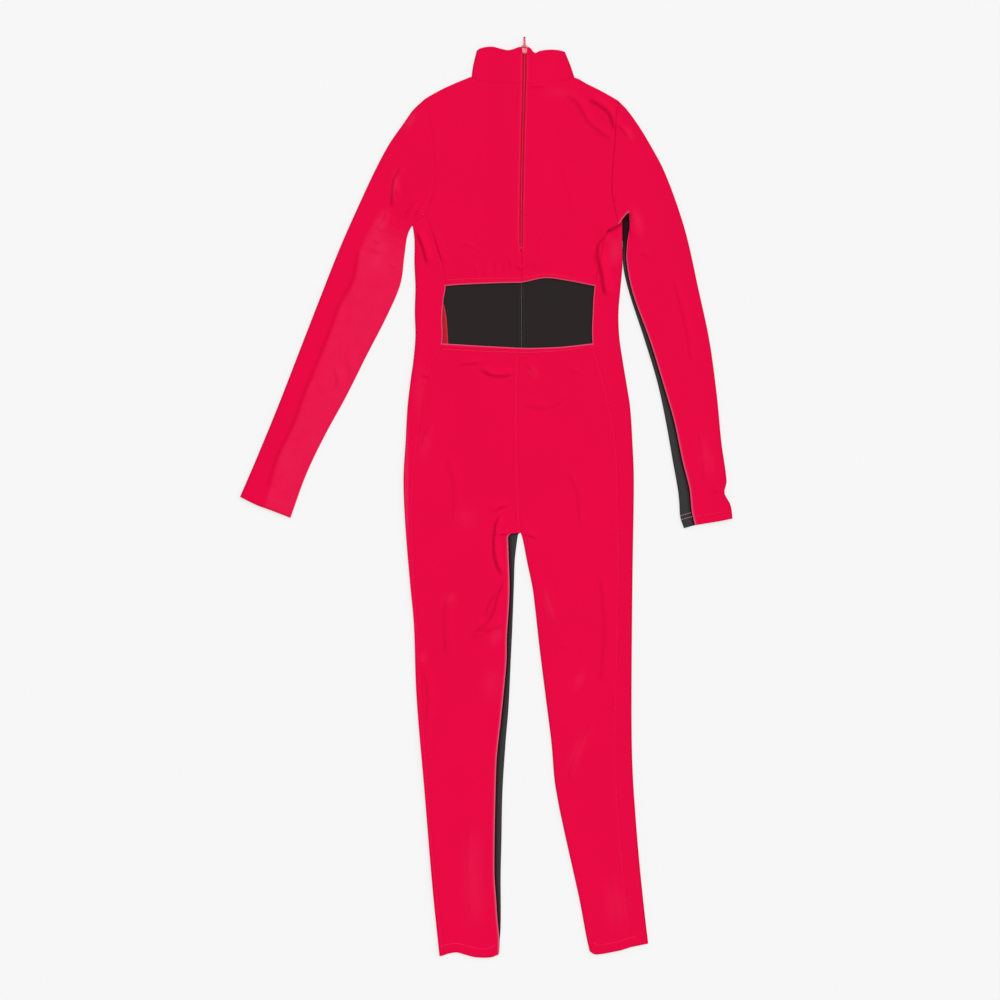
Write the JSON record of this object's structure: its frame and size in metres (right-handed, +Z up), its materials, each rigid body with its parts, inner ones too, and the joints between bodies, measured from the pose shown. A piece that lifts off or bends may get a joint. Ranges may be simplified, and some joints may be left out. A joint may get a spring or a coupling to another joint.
{
  "type": "dance unitard",
  "caption": "Long-sleeved full-length stretch unitard laid flat with its back up: stand collar, back zip with a pull tab, lower-back cutout and two-colour panels.",
  "frame": {"origin": "on the surface that it lies on, under the middle of its box", "axes": "+Z up out of the surface, +Y from the legs toward the collar, +X across the back toward the wearer's right sleeve"},
  "size_m": [0.7384, 1.3804, 0.0097],
  "materials": {
    "red_knit": "matt four-way stretch knit with a faint sheen",
    "black_knit": "matt black four-way stretch knit",
    "zip_tape": "woven polyester tape dyed to match",
    "zip_coil": "dyed nylon coil",
    "enamelled_metal": "pink enamel on cast metal"
  },
  "bodies": {
    "garment": {"front_left": "black_knit", "front_right": "black_knit", "back_upper_left": "red_knit", "back_upper_right": "red_knit", "back_lower_left": "red_knit", "back_lower_right": "red_knit", "side_left": "red_knit", "side_right": "red_knit", "sleeve_back_left": "red_knit", "sleeve_back_right": "red_knit", "sleeve_front_left": "black_knit", "sleeve_front_right": "black_knit", "collar": "red_knit", "zip_tape_left": "zip_tape", "zip_tape_right": "zip_tape", "zip_coil": "zip_coil", "zip_stop": "enamelled_metal", "zip_slider": "enamelled_metal"},
    "zip_pull": {"zip_pull": "enamelled_metal"}
  },
  "joints": [
    {"name": "pull_swing", "type": "hinge", "parent": "garment", "child": "zip_pull", "pos_m": [0.05715, 0.6747, 0.008], "axis": [1, 0, 0], "range_deg": [0, 200]}
  ]
}
